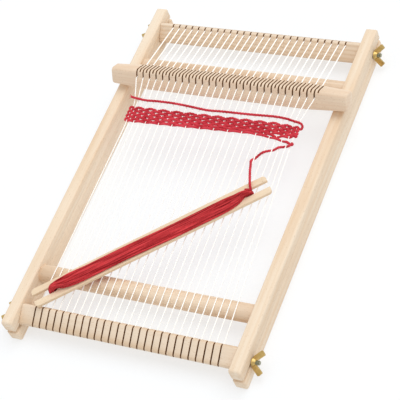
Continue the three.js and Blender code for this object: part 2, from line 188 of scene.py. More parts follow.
def plyCurve(name, radius, plies, depth, sides):
    # The section of a twisted yarn: one soft lobe for each ply
    data = bpy.data.curves.new(name, "CURVE")
    data.dimensions = "2D"
    line = data.splines.new("POLY")
    line.points.add(sides - 1)
    line.use_cyclic_u = True
    for i, point in enumerate(line.points):
        angle = 2 * math.pi * i / sides
        r = radius * mm * (1 - depth * (1 - math.cos(plies * angle)) / 2)
        point.co = (r * math.cos(angle), r * math.sin(angle), 0, 1)
    return addObject(name, data)


def twistedYarn(name, points, yarn, radii=None):
    # Sweeps the ply section along the line, turning as it goes
    section = plyCurve(name + "Section", yarn["diameter"] / 2, yarn["plies"], yarn["depth"], yarn["sides"])
    data = bpy.data.curves.new(name, "CURVE")
    data.dimensions = "3D"
    data.twist_mode = "MINIMUM"
    data.bevel_mode = "OBJECT"
    data.bevel_object = section
    data.use_fill_caps = True
    line = data.splines.new("POLY")
    line.points.add(len(points) - 1)
    turned = 0
    for i, p in enumerate(points):
        if i:
            turned += (p - points[i - 1]).length / yarn["lay"] * 2 * math.pi
        line.points[i].co = (*(p * mm), 1)
        line.points[i].tilt = turned
        if radii:
            line.points[i].radius = radii(p)
    swept = addObject(name + "Swept", data)
    piece = meshOf(swept, name)
    bpy.data.objects.remove(swept)
    bpy.data.objects.remove(section)
    smoothFaces(piece.data)
    return piece


def meshOf(source, name):
    bpy.context.view_layer.update()
    shaped = source.evaluated_get(bpy.context.evaluated_depsgraph_get())
    mesh = bpy.data.meshes.new_from_object(shaped)
    mesh.transform(source.matrix_world)
    return addObject(name, mesh)


wool = {
    "diameter": 2.65,
    "plies": 3,
    "depth": 0.2,  # of the grooves between the plies, as a share of the radius
    "sides": 12,
    "lay": 9.5,
    "step": 0.75,
}
cotton = {"diameter": 1.25, "plies": 2, "depth": 0.24, "sides": 8, "lay": 4.8, "step": 0.65}


def pliedWool(name, dark, light, shadeBands=None):
    # Red knitting wool, carded and three ply: matt, a little darker between the plies, with fuzzy fibres.
    # Given bands, it is painted in long light and dark bands along the strands: painted highlight where
    # strands stand proud, painted shade where they lie deeper
    material, tree, shader = newMaterial(name)
    place = addNode(tree, "ShaderNodeTexCoord").outputs["Object"]
    fibres = addNode(tree, "ShaderNodeTexNoise", {"Vector": place, "Scale": 1 / (0.45 * mm), "Detail": 3.0})
    size, weight, span = 9 * mm, 1.0, (0.7, 1.3)
    if shadeBands:
        # Painted highlight and shade: noise drawn out into long thin bands along the stick
        place = addNode(tree, "ShaderNodeMapping", {
            "Vector": place,
            "Rotation": (0, 0, shadeBands["turn"]),
            "Scale": (shadeBands["long"] * mm, shadeBands["wide"] * mm, shadeBands["wide"] * mm),
        }, vector_type="TEXTURE").outputs[0]
        size, weight, span = 1, 2.0, (1.15, 1.85)
    patches = addNode(tree, "ShaderNodeTexNoise", {"Vector": place, "Scale": 1 / size, "Detail": 2.0})
    both = addNode(tree, "ShaderNodeMath", {
        0: patches.outputs[0], 1: weight, 2: fibres.outputs[0],
    }, operation="MULTIPLY_ADD")
    share = addNode(tree, "ShaderNodeMapRange", {
        "Value": both.outputs[0], "From Min": span[0], "From Max": span[1],
    })
    colour = addNode(tree, "ShaderNodeMix", {
        "Factor": share.outputs[0], "A": linearColour(dark), "B": linearColour(light),
    }, data_type="RGBA")
    bump = addNode(tree, "ShaderNodeBump", {
        "Strength": 0.5, "Distance": 0.25 * mm, "Height": fibres.outputs[0],
    })
    setInputs(tree, shader, {
        "Base Color": colour.outputs["Result"],
        "Normal": bump.outputs[0],
        "Roughness": 0.92,
        "Sheen Weight": 0.4,
        "Sheen Roughness": 0.5,
        "Sheen Tint": linearColour("#ff8a90"),
        "Specular IOR Level": 0.2,
    })
    return material


def twistedCotton():
    # White warp cotton, spun and two ply: bright and matt with a faint shade in the twist, and a faint
    # painted glow that makes it look brighter
    material, tree, shader = newMaterial("twistedCotton")
    place = addNode(tree, "ShaderNodeTexCoord").outputs["Object"]
    fibres = addNode(tree, "ShaderNodeTexNoise", {"Vector": place, "Scale": 1 / (0.3 * mm), "Detail": 2.0})
    colour = addNode(tree, "ShaderNodeMix", {
        "Factor": fibres.outputs[0], "A": linearColour("#f8f4ea"), "B": linearColour("#ffffff"),
    }, data_type="RGBA")
    bump = addNode(tree, "ShaderNodeBump", {
        "Strength": 0.3, "Distance": 0.1 * mm, "Height": fibres.outputs[0],
    })
    setInputs(tree, shader, {
        "Base Color": colour.outputs["Result"],
        "Normal": bump.outputs[0],
        "Roughness": 0.85,
        "Sheen Weight": 0.15,
        # Painted light: a faint glow of its own, so the thin threads look brighter than their lighting makes
        # them
        "Emission Color": linearColour("#fffcf6"),
        "Emission Strength": 0.22,
        "Specular IOR Level": 0.25,
    })
    return material


fuzz = {
    "radius": 0.055,  # drawn coarser than real fibres, which wouldn't show
    "root": 0.38,  # where a fibre starts, as a share of the yarn's diameter
    "reach": (0.35, 1.1),
    "drift": 1.6,
    "bend": 1.3,
    "stations": (0, 0.55, 1),
    "thick": (1.2, 0.8),  # at its root, and how much thinner at its tip
    "ends": 26,  # fibres of a frayed end
    "endRoot": 0.8,
    "endSide": 0.45,
    "endSpread": (0.1, 0.75),
    "endReach": (1.2, 3.2),
    "endStations": (0, 0.35, 0.7, 1),
    "endThick": (3.4, 2.2),
}


def randomSide(draw, along):
    return along.cross(Vector((draw.gauss(0, 1), draw.gauss(0, 1), draw.gauss(0, 1)))).normalized()


def addFibre(data, stations, places, thick):
    # One short hair, thinning towards its tip
    line = data.splines.new("POLY")
    line.points.add(len(places) - 1)
    for point, share, place in zip(line.points, stations, places):
        point.co = (*(place * mm), 1)
        point.radius = thick[0] - thick[1] * share


def addFuzz(piece, points, yarn, perMm, seed, frayed=False):
    # Fine stray fibres that stand off the yarn, joined to its mesh; at a frayed end they spread out
    draw = random.Random(seed)
    data = bpy.data.curves.new(piece.name + "Fuzz", "CURVE")
    data.dimensions = "3D"
    data.bevel_depth = fuzz["radius"] * mm
    data.bevel_resolution = 0
    for k in range(int(lineLength(points) * perMm)):
        i = draw.randrange(1, len(points) - 1)
        along = (points[i + 1] - points[i - 1]).normalized()
        out = randomSide(draw, along)
        start = points[i] + out * yarn["diameter"] * fuzz["root"]
        reach = draw.uniform(*fuzz["reach"])
        drift = along * draw.uniform(-fuzz["drift"], fuzz["drift"]) * reach
        places = [start + out * reach * math.sin(share * fuzz["bend"]) + drift * share ** 1.5
                  for share in fuzz["stations"]]
        addFibre(data, fuzz["stations"], places, fuzz["thick"])
    if frayed:
        tip = points[-1]
        along = (tip - points[-3]).normalized()
        for k in range(fuzz["ends"]):
            out = randomSide(draw, along)
            spread, reach = draw.uniform(*fuzz["endSpread"]), draw.uniform(*fuzz["endReach"])
            places = [tip - along * fuzz["endRoot"] + out * (fuzz["endSide"] + spread * reach * share ** 1.4)
                      + along * reach * share for share in fuzz["endStations"]]
            addFibre(data, fuzz["endStations"], places, fuzz["endThick"])
    hairs = addObject(piece.name + "Fuzz", data)
    bpy.context.view_layer.update()
    mesh = bpy.data.meshes.new_from_object(hairs.evaluated_get(bpy.context.evaluated_depsgraph_get()))
    bm = bmesh.new()
    bm.from_mesh(piece.data)
    bm.from_mesh(mesh)
    for face in bm.faces:
        face.smooth = True
    bm.to_mesh(piece.data)
    bm.free()
    bpy.data.objects.remove(hairs)
    bpy.data.meshes.remove(mesh)


woolMaterial = pliedWool("pliedWool", "#ba2230", "#e64b58")
# The winding's wool carries painted highlight and shade bands along its strands
woundMaterial = pliedWool("woundWool", "#951017", "#e2474c", {
    "turn": math.radians(stick["turn"]), "long": 70, "wide": 1.9,
})
cottonMaterial = twistedCotton()


def dress(piece, material, slot, body, *nodes):
    if material:
        piece.data.materials.clear()
        piece.data.materials.append(material)
    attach(piece, body)
    if nodes:
        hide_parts(*nodes)


threadX = [(i - (warp["threads"] - 1) / 2) * warp["pitch"] for i in range(warp["threads"])]


def drawnIn(x):
    share = abs(x) / threadX[-1]
    pull = share ** warp["drawInPower"] * (warp["drawInLeft"] if x < 0 else -warp["drawInRight"])
    return x + warp["heddleShift"] * warp["clothSpan"][1] / warp["heddleAt"] + pull


# The two free ends of the red yarn
yarnDiameter = 2.5
threadTop = 0.8  # where a yarn rests, over the middle of the threads
restGap = 0.3
rightEdge = drawnIn(threadX[-1]) + yarnDiameter
yarnUp = threadTop + yarnDiameter / 2
weaveUp = yarnUp + restGap
overStick = stick["thickness"] / 2 + restGap + yarnDiameter / 2
# x, how far before the heddle bar, and the height, which is looseUp where the yarn lies on the threads
looseUp = 1.9
looseRoute = [
    (rightEdge + 0.78, 34.3, 0), (rightEdge + 2, 34.2, 0), (rightEdge + 2.9, 32.5, 0.7),
    (rightEdge + 2, 30.4, 1.8), (rightEdge - 0.4, 29, 2.3), (92, 28.4, 2.3), (88.8, 27.8, 2.1),
    (84.2, 26.75, 1.95), (79.8, 25.9, looseUp), (67, 25.2, looseUp), (42, 26.3, looseUp), (12, 27.1, looseUp),
    (-5, 27.8, looseUp), (-24, 26.2, looseUp), (-42, 25, looseUp), (-60, 24.95, looseUp),
    (-73, 25.6, looseUp), (-83, 24.9, looseUp), (-90.9, 23.8, looseUp),
]
# x, the share of tailReach from tailStart, and the height; then places in the stick's own frame
tailStart = warp["heddleAt"] - 52.9
tailReach = 42.28
clothTail = [
    (rightEdge - 1.2, -0.0041, 2.5), (92.7, 0.0459, 2.5), (91.5, 0.0486, 1.7), (88.2, 0.0186, -weaveUp),
    (85.4, 0.0767, 0), (82.3, 0.1338, weaveUp), (78.9, 0.1524, 0), (75.7, 0.1608, -weaveUp),
    (72.2, 0.2294, 0), (68.6, 0.3136, weaveUp), (64.9, 0.3563, 0), (61.1, 0.427, -weaveUp),
    (59.2, 0.51, -0.5), (60.1, 0.585, 1.9), (62.6, 0.715, 4.6), (64.9, 0.845, 7.4),
]
stickTail = [
    (111.5, 19, overStick - 1.2), (109.3, 12, overStick + 0.6), (107.4, 6.4, overStick + 1.1),
    (106.2, 2.8, overStick - 0.2), (105.35, 2.05, 0.3),
]


def addCords():
    lift = yarnUp / looseUp
    spots = [onWarp(x, warp["heddleAt"] - before, up * lift) for x, before, up in looseRoute]
    loose = smoothLine(spots, wool["step"])
    piece = twistedYarn("loose_red_yarn", loose, wool)
    addFuzz(piece, loose, wool, perMm=2.2, seed=3, frayed=True)
    dress(piece, woolMaterial, "red_yarn", "frame", "loose_yarn")
    tail = [onWarp(x, tailStart - share * tailReach, up) for x, share, up in clothTail]
    tail = smoothLine(tail + [onStick(*p) for p in stickTail], wool["step"])
    piece = twistedYarn("working_red_yarn", tail, wool)
    addFuzz(piece, tail, wool, perMm=1.6, seed=5)
    dress(piece, woolMaterial, "red_yarn", "frame", "tail_yarn")
    print("cords:", round(lineLength(loose)), "and", round(lineLength(tail)), "mm")


addCords()


# Warp threads and the begun cloth
cloth = {
    "rows": 8,
    "weftDip": 0.9,
    "threadDip": 0.5,
    "squeeze": 0.26,  # share by which the weft thins the threads
    "squeezeEase": 3,
    "bulge": 0.13,  # share by which a float swells and a crossing is pinched
    "turn": 2.3,  # how far the weft goes past the last thread
    "turnHalf": 0.9,
    # from the right edge, along the warp and up
    "start": [(0.9, 227.6, 0), (-0.6, 228.2, 0)],
    "finish": [(-0.8, 209.7, 1.6), (-1.2, 209.25, 2.4)],
    # along the warp at the left edge, near the right and at the right edge, row by row from the far side
    "left": [227.3, 225.0, 222.8, 220.5, 218.2, 216.0],
    "nearRight": [230.2, 228.1, 226.0, 223.9, 221.8, 219.7],
    "right": [228.9, 226.9, 225.0, 223.1, 221.3, 219.4],
    # the last two rows have slipped apart towards the right
    "seventh": [(-87, 213.8), (-30, 215.2), (10, 217.2), (45, 218.3), (64, 218.1), (76, 216.2), (82.3, 217.3),
                (88, 217.4), (93, 219.5)],
    "eighth": [(-87, 211.5), (-50, 212.8), (-20, 213.9), (9, 215.0), (28, 215.6), (43, 216.2), (54, 216.1),
               (66, 214.8), (76, 213.6), (84, 212.3), (93, 209.6)],
}
shortStretch = 18


def smoothStep(value, low, high):
    t = max(0.0, min(1.0, (value - low) / (high - low)))
    return t * t * (3 - 2 * t)


def between(x, stations):
    # Long stretches run straight, short ones ease in and out
    for (x0, y0), (x1, y1) in zip(stations, stations[1:]):
        if x <= x1:
            if x1 - x0 < shortStretch:
                return y0 + (y1 - y0) * smoothStep(x, x0, x1)
            return y0 + (y1 - y0) * max(0.0, min(1.0, (x - x0) / (x1 - x0)))
    return stations[-1][1]


def rowAlong(row, x):
    # row counts from 0 at the far side
    if row == 6:
        return between(x, cloth["seventh"])
    if row == 7:
        return between(x, cloth["eighth"])
    return between(x, [(-87, cloth["left"][row]), (69, cloth["nearRight"][row]), (93, cloth["right"][row])])


def threadOver(i, row):
    return (i + row + 1) % 2 == 0


def pressed(p):
    # The weft squeezes the threads in the cloth
    near, far = (onWarp(0, station) for station in warp["clothSpan"])
    inside = min(p.y - near.y, far.y - p.y)
    return 1 - cloth["squeeze"] * max(0, min(1, inside / cloth["squeezeEase"]))


def addWarp():
    lines = []
    clothStart, clothEnd = warp["clothSpan"]
    ease = warp["clothEase"]
    for i, x in enumerate(threadX):
        place = drawnIn(x)
        points = [Vector((x, *spot)) for spot in (warp["start"], warp["nearBend"], warp["origin"][1:])]
        for share in (0.02, 0.3, 0.6, 0.9):
            points.append(onWarp(x, 0).lerp(onWarp(place, clothStart - ease[0]), share))
        points.append(onWarp(place, clothStart - ease[1]))
        for row in reversed(range(cloth["rows"])):
            up = cloth["threadDip"] * (1 if threadOver(i, row) else -1)
            points.append(onWarp(place, rowAlong(row, place), up))
        points.append(onWarp(place, clothEnd - ease[1]))
        top, leaves = (Vector((x + warp["heddleShift"], *warp[spot])) for spot in ("heddle", "leaves"))
        points += [onWarp(place, clothEnd).lerp(top, 0.5), top + Vector(warp["settle"]), top]
        points += [top.lerp(leaves, share) for share in (0.05, 0.5, 1)]
        far, farBend, end = (Vector((x, *warp[spot])) for spot in ("far", "farBend", "end"))
        points += [leaves.lerp(far, 0.5), far, farBend, end]
        lines.append(smoothLine(points, cotton["step"]))
    for n, line in enumerate(lines):
        piece = twistedYarn("warp_%02d" % (n + 1), line, cotton, pressed)
        dress(piece, cottonMaterial, "warp_cotton", "frame", "warp_thread_%02d" % (n + 1))
    print("warp threads:", len(lines))


def addCloth():
    points = [onWarp(rightEdge + x, along, up) for x, along, up in cloth["start"]]
    for row in range(cloth["rows"]):
        order = list(range(warp["threads"]))
        if row % 2 == 0:
            order.reverse()
        for i in order:
            place = drawnIn(threadX[i])
            up = cloth["weftDip"] * (-1 if threadOver(i, row) else 1)
            points.append(onWarp(place, rowAlong(row, place), up))
        if row < cloth["rows"] - 1:
            side = -1 if row % 2 == 0 else 1
            edge = drawnIn(threadX[0 if side < 0 else -1])
            middle = (rowAlong(row, edge) + rowAlong(row + 1, edge)) / 2
            for out, along in ((0.8, 1), (1, 0), (0.8, -1)):
                points.append(onWarp(edge + side * cloth["turn"] * out, middle + along * cloth["turnHalf"]))
    points += [onWarp(rightEdge + x, along, up) for x, along, up in cloth["finish"]]
    flat = warpMatrix.inverted()
    swell = cloth["bulge"] / cloth["weftDip"]
    line = smoothLine(points, wool["step"])
    piece = twistedYarn("weft_rows", line, wool, lambda p: 1 + swell * (flat @ p).z)
    addFuzz(piece, line, wool, perMm=0.9, seed=9)
    dress(piece, woolMaterial, "red_yarn", "frame", "woven_band")
    print("cloth woven:", cloth["rows"], "rows")


addWarp()
addCloth()


# The winding on the stick
winding = {
    "diameter": 2.1,
    "depth": 0.1,
    "lay": 16,
    "step": 0.8,
    "stacks": 3,
    "stackHeight": 3,
    "notchPitch": 2.05,
    "middlePitch": 1.85,
    "middleShift": -1.5,
    "shiftEase": 0.4,
    "crossing": 0.35,  # share of each half of its run over which a strand changes its row
    "waver": (0.35, 0.6),  # how far a strand may stray, inner layer and outer
    "overLift": 0.9,  # of the outer layer
    "firstLayer": 2.7,
    "arch": 1.2,
    "backUp": 6.4,  # the back rows lie no farther than this from the stick's middle
    "fanLength": (38, 48),  # at the left end, at the right end
    "runSteps": 36,
    "turnSteps": 8,
    "turnCentre": 98.55,
}


def strandPlace(slot, fan, lift):
    height, count = winding["stackHeight"], winding["stacks"] * winding["stackHeight"]
    pitch = winding["notchPitch"] + (winding["middlePitch"] - winding["notchPitch"]) * fan
    stack = slot // height - (winding["stacks"] - 1) / 2
    level = slot % height - (height - 1) / 2
    turn = fan * math.pi / 2
    across = stack * pitch * (1 + (height - 1) * math.sin(turn)) + level * pitch * math.sin(turn)
    row = slot - (count - 1) / 2
    arch = winding["arch"] * fan ** 4 * (1 - (2 * row / count) ** 2)
    middle = (height - 1) / 2 * winding["notchPitch"]
    return across, winding["firstLayer"] + (middle + level * pitch) * math.cos(turn) + arch + lift


def windingLine(slots, lift, waver):
    points = []
    fields = random.Random(7)

    def run(slotFrom, slotTo, side, direction):
        sway = fields.uniform(-waver, waver)
        for step in range(winding["runSteps"] + 1):
            along = -math.cos(math.pi * step / winding["runSteps"])
            fanLength = winding["fanLength"][direction * along > 0]
            near = min(1, winding["turnCentre"] * (1 - abs(along)) / fanLength)
            fan = near * (2 - near)
            shift = smoothStep(along, -winding["crossing"], winding["crossing"])
            a, b = strandPlace(slotFrom, fan, lift), strandPlace(slotTo, fan, lift)
            y = a[0] + (b[0] - a[0]) * shift + sway * fan * math.sin(2.2 * along + 3 * sway)
            up = a[1] + (b[1] - a[1]) * shift
            if side < 0:
                up = min(up, winding["backUp"])
            else:
                y += winding["middleShift"] * smoothStep(fan, 0, winding["shiftEase"])
            points.append(onStick(direction * winding["turnCentre"] * along, y, side * up))

    def turn(slot, end):
        y, up = strandPlace(slot, 0, lift)
        for step in range(1, winding["turnSteps"]):
            angle = math.pi * step / winding["turnSteps"]
            z = -end * up * math.cos(angle)
            x = end * (winding["turnCentre"] + up * math.sin(angle))
            points.append(onStick(x, y, max(z, -winding["backUp"])))

    for n, slot in enumerate(slots):
        if n:
            run(slots[n - 1], slot, 1, -1)
            turn(slot, -1)
        run(slot, slot, -1, 1)
        turn(slot, 1)
    return points


def addWinding():
    yarn = dict(wool, diameter=winding["diameter"], depth=winding["depth"], lay=winding["lay"])
    count = winding["stacks"] * winding["stackHeight"]
    inner = windingLine(range(count), 0, winding["waver"][0])
    outer = windingLine(range(1, count - 1), winding["overLift"], winding["waver"][1])
    outer = outer[winding["runSteps"] + winding["turnSteps"]:]
    for name, line in (("wound_yarn", inner), ("wound_yarn_over", outer)):
        line = smoothLine(line, winding["step"])
        piece = twistedYarn(name, line, yarn)
        addFuzz(piece, line, yarn, perMm=0.35, seed=11)
        dress(piece, woundMaterial, "red_yarn", "shuttle", *(["winding"] if name == "wound_yarn" else []))
    print("stick wound")


addWinding()


# The wooden parts
beech = {
    # how long and how wide the marks are, in millimetres, and how detailed
    "bands": (150, 9, 3.0),
    "fibres": (22, 0.7, 2.0),
    "flecks": (2.6, 0.6, 1.0),
    "fibreWeight": 0.36,
    "fleckWeight": 0.45,
    "fleckSpan": (0.66, 0.74),
    "ground": 0.1,  # the wood's own depth of colour, under its marks
    "ringStretch": (0.07, 1, 1),
    "ringAxis": (0, 0.075, 0.11),
    "roughness": (0.5, 0.66),
}


def sandedBeech(name, pale, deep, fleck, turn=(0, 0, 0), shift=(0, 0, 0), ring=4.2, streak=0.8, rings=0.14):
    # Steamed beech, planed and sanded: an even pale buff, with soft year lines, long fine fibres and the
    # short brown flecks of its rays
    material, tree, shader = newMaterial(name)
    place = addNode(tree, "ShaderNodeTexCoord").outputs["Object"]
    grain = addNode(tree, "ShaderNodeMapping", {"Vector": place, "Rotation": turn, "Location": shift})
    # Year rings run round the grain, about an axis outside the board
    aside = addNode(tree, "ShaderNodeMapping", {
        "Vector": grain.outputs[0], "Scale": beech["ringStretch"], "Location": beech["ringAxis"],
    })
    years = addNode(tree, "ShaderNodeTexWave", {
        "Vector": aside.outputs[0],
        "Scale": 2 * math.pi / (20 * ring * mm),
        "Distortion": 5.0,
        "Detail": 2.0,
        "Detail Scale": 0.35,
    }, wave_type="RINGS", rings_direction="X")
    lines = addNode(tree, "ShaderNodeMath", {0: years.outputs["Fac"], 1: 2.0}, operation="POWER")
    marks = {"rings": lines.outputs[0]}
    for mark in ("bands", "fibres", "flecks"):
        long, wide, detail = beech[mark]
        drawn = addNode(tree, "ShaderNodeMapping", {
            "Vector": grain.outputs[0], "Scale": (1 / (long * mm), 1 / (wide * mm), 1 / (wide * mm)),
        })
        noise = addNode(tree, "ShaderNodeTexNoise", {
            "Vector": drawn.outputs[0], "Scale": 1.0, "Detail": detail,
        })
        marks[mark] = noise.outputs[0]
    depth = beech["ground"] - streak / 2
    for mark, weight in (("rings", rings), ("bands", streak), ("fibres", beech["fibreWeight"])):
        added = addNode(tree, "ShaderNodeMath", {
            0: marks[mark], 1: weight, 2: depth,
        }, operation="MULTIPLY_ADD")
        depth = added.outputs[0]
    wood = addNode(tree, "ShaderNodeMix", {
        "Factor": depth, "A": linearColour(pale), "B": linearColour(deep),
    }, data_type="RGBA")
    share = addNode(tree, "ShaderNodeMapRange", {
        "Value": marks["flecks"],
        "From Min": beech["fleckSpan"][0],
        "From Max": beech["fleckSpan"][1],
        "To Max": beech["fleckWeight"],
    })
    flecked = addNode(tree, "ShaderNodeMix", {
        "Factor": share.outputs[0], "A": wood.outputs["Result"], "B": linearColour(fleck),
    }, data_type="RGBA")
    rough = addNode(tree, "ShaderNodeMapRange", {
        "Value": marks["fibres"], "To Min": beech["roughness"][0], "To Max": beech["roughness"][1],
    })
    bump = addNode(tree, "ShaderNodeBump", {
        "Strength": 0.25, "Distance": 0.08 * mm, "Height": marks["fibres"],
    })
    setInputs(tree, shader, {
        "Base Color": flecked.outputs["Result"],
        "Roughness": rough.outputs[0],
        "Normal": bump.outputs[0],
        "IOR": 1.45,
    })
    return material


def slotShadeBeech():
    # Saw cuts in beech: rough end grain, painted deep brown: a little of it the sawn grain's own tone, most
    # of it painted shade for the inside of the narrow slots
    material, tree, shader = newMaterial("slotShadeBeech")
    place = addNode(tree, "ShaderNodeTexCoord").outputs["Object"]
    torn = addNode(tree, "ShaderNodeTexNoise", {"Vector": place, "Scale": 1 / (1.2 * mm), "Detail": 3.0})
    colour = addNode(tree, "ShaderNodeMix", {
        "Factor": torn.outputs[0], "A": linearColour("#a5784a"), "B": linearColour("#7a5230"),
    }, data_type="RGBA")
    setInputs(tree, shader, {"Base Color": colour.outputs["Result"], "Roughness": 0.9})
    return material


quarter = math.pi / 2
slotShadeMaterial = slotShadeBeech()
alongRail = (0, 0, quarter)
alongStick = (0, 0, -math.radians(stick["turn"]))
railBeech = sandedBeech("railBeech", "#f5e4cd", "#e2bf98", "#b48d63", turn=alongRail, streak=1.5)
beamBeech = sandedBeech("beamBeech", "#f1dfc9", "#d8ba98", "#b48d63", shift=(0.3, 0.02, 0), rings=0.4)
dowelBeech = sandedBeech("dowelBeech", "#f0dcc4", "#cfab86", "#a07850",
                         shift=(0.2, 0.03, 0.01), ring=3, streak=1.7)
heddleBeech = sandedBeech("heddleBeech", "#f2dec6", "#deba98", "#a67f58",
                          shift=(0.1, 0, 0.04), ring=3.4, streak=1.2)
stickBeech = sandedBeech("stickBeech", "#f4e0c4", "#e2c29a", "#b08a58", turn=alongStick, ring=5)


def addBox(bm, size, centre=(0, 0, 0)):
    bmesh.ops.create_cube(bm, size=1, matrix=Matrix.Translation(centre) @ Matrix.Diagonal((*size, 1)))


def boxMesh(size, centre=(0, 0, 0)):
    bm = bmesh.new()
    addBox(bm, size, centre)
    return bm


def addRod(bm, radius, length, centre=(0, 0, 0), sides=32):
    bmesh.ops.create_cone(bm, cap_ends=True, segments=sides, radius1=radius, radius2=radius, depth=length,
                          matrix=Matrix.Translation(centre) @ Matrix.Rotation(quarter, 4, "Y"))


def endSlots(size, inner, axis, across, segments):
    # A cutter for each end of a board: open outwards, with a half round inner end
    bm = bmesh.new()
    for end in (-1, 1):
        length = size[axis]
        centre = [0, 0, 0]
        centre[axis] = end * (inner + length / 2)
        made = boxMesh(size, centre)
        third = 3 - axis - across
        edges = [e for e in edgesAlong(made, third) if abs(e.verts[0].co[axis]) < inner + 0.1]
        roundEdges(made, edges, size[across] / 2 - 0.01, segments)
        mesh = bpy.data.meshes.new("slot")
        made.to_mesh(mesh)
        made.free()
        bm.from_mesh(mesh)
        bpy.data.meshes.remove(mesh)
    return bm


def roundEdges(bm, edges, width, segments):
    bmesh.ops.bevel(bm, geom=edges, offset=width, offset_type="OFFSET", segments=segments, profile=0.5,
                    affect="EDGES", clamp_overlap=True, material=-1)


def edgesAlong(bm, axis):
    return [e for e in bm.edges if abs((e.verts[1].co - e.verts[0].co).normalized()[axis]) > 0.99]


def temporary(bm, name):
    mesh = bpy.data.meshes.new(name)
    bm.to_mesh(mesh)
    bm.free()
    return addObject(name, mesh)


def cut(body, tool, operation="DIFFERENCE"):
    change = body.modifiers.new(tool.name, "BOOLEAN")
    change.operation = operation
    change.solver = "EXACT"
    change.object = tool


def soften(body, width, segments, angle):
    change = body.modifiers.new("edges", "BEVEL")
    change.width = width
    change.segments = segments
    change.limit_method = "ANGLE"
    change.angle_limit = math.radians(angle)


def finishWood(name, bm, place, wood, cutters=None, edge=0.3, slotShade=False):
    # Cuts the slots, breaks the sharp edges and puts the piece in its place
    bmesh.ops.triangulate(bm, faces=bm.faces)
    body = temporary(bm, name + "Raw")
    body.data.materials.append(wood)
    tools = []
    if cutters:
        tool = temporary(cutters, name + "Cutters")
        tools.append(tool)
        # Cut faces get the slot material, whose dark brown is painted shade for the slots' insides
        if slotShade:
            for thing in (body, tool, tool):
                thing.data.materials.append(slotShadeMaterial)
            for face in tool.data.polygons:
                face.material_index = 1
        cut(body, tool)
    soften(body, edge, 2, 40)
    for thing in [body] + tools:
        thing.matrix_world = Matrix.Diagonal((mm, mm, mm, 1)) @ place
    piece = meshOf(body, name)
    for thing in [body] + tools:
        bpy.data.objects.remove(thing)
    smoothFaces(piece.data, 32)
    return piece


rail = {
    "length": 400,
    "height": 30,
    "thickness": 12,
    "spacing": 226,
    "edge": 1.6,
    "end": 3,
    "slotEnd": 174.25,
    "slot": 4.6,
}
beam = {
    "span": 357.5,
    "height": 15,
    "side": 20.5,
    "round": 3,
    "length": 225.4,
    "slotWidth": 1.4,
    "slotDepth": 5.7,
    "cutEdge": 0.25,
    "tilt": {"near_beam": 27, "far_beam": -49},
}
dowel = {"radius": 9, "length": 237.4, "height": 18.1, "near": -134.05, "far": 127.75}
heddle = {
    "length": 258.6,
    "face": 22,
    "depth": 20,
    "round": 4.5,
    "taper": 2,
    "taperLength": 42,
    "end": 1.6,
    "place": (2.3, 97.55, 42.065),
    "lean": -30,
    "slotWidth": 1.5,
    "deep": 9.6,
    "shallow": 2.8,
    "cutEdge": 0.2,
}
# How far the cutters reach across a bar, through a board, and outwards from a slot's inner end
cutAcross = 30
cutThrough = 20
cutOut = 40


def sawCut(cutters, x, width, depth, top, spare):
    # One slot across a bar; the cutter stands out of the top by what is spare
    height = depth + spare
    addBox(cutters, (width, cutAcross, height), (x, 0, top - depth + height / 2))


def addRails():
    for side, node in ((-1, "left_rail"), (1, "right_rail")):
        bm = boxMesh((rail["thickness"], rail["length"], rail["height"]))
        roundEdges(bm, edgesAlong(bm, 0), rail["end"], 6)
        half = rail["thickness"] / 2
        long = [e for e in bm.edges if all(abs(abs(v.co.x) - half) < 1e-4 for v in e.verts)
                and e.verts[0].co.x * e.verts[1].co.x > 0]
        roundEdges(bm, long, rail["edge"], 4)
        cutters = endSlots((cutThrough, cutOut, rail["slot"]), rail["slotEnd"], 1, 2, 8)
        place = Matrix.Translation((side * (rail["spacing"] + rail["thickness"]) / 2, 0, rail["height"] / 2))
        piece = finishWood(node + "_wood", bm, place, railBeech, cutters)
        dress(piece, None, "pale_beech", "frame", node)
    print("rails shaped")


def addBeams():
    for end, node in ((-1, "near_beam"), (1, "far_beam")):
        bm = boxMesh((beam["length"], beam["side"], beam["side"]))
        roundEdges(bm, edgesAlong(bm, 0), beam["round"], 5)
        cutters = bmesh.new()
        for x in threadX:
            sawCut(cutters, x, beam["slotWidth"], beam["slotDepth"], beam["side"] / 2, 1)
        place = Matrix.Translation((0, end * beam["span"] / 2, beam["height"]))
        place = place @ Matrix.Rotation(math.radians(beam["tilt"][node]), 4, "X")
        piece = finishWood(node + "_wood", bm, place, beamBeech, cutters, beam["cutEdge"], slotShade=True)
        dress(piece, None, "pale_beech", node, node)
    print("beams sawn")


def addDowels():
    for node, y in (("near_dowel", dowel["near"]), ("far_dowel", dowel["far"])):
        bm = bmesh.new()
        addRod(bm, dowel["radius"], dowel["length"], sides=64)
        piece = finishWood(node + "_wood", bm, Matrix.Translation((0, y, dowel["height"])), dowelBeech)
        dress(piece, None, "pale_beech", "frame", node)
    print("dowels turned")


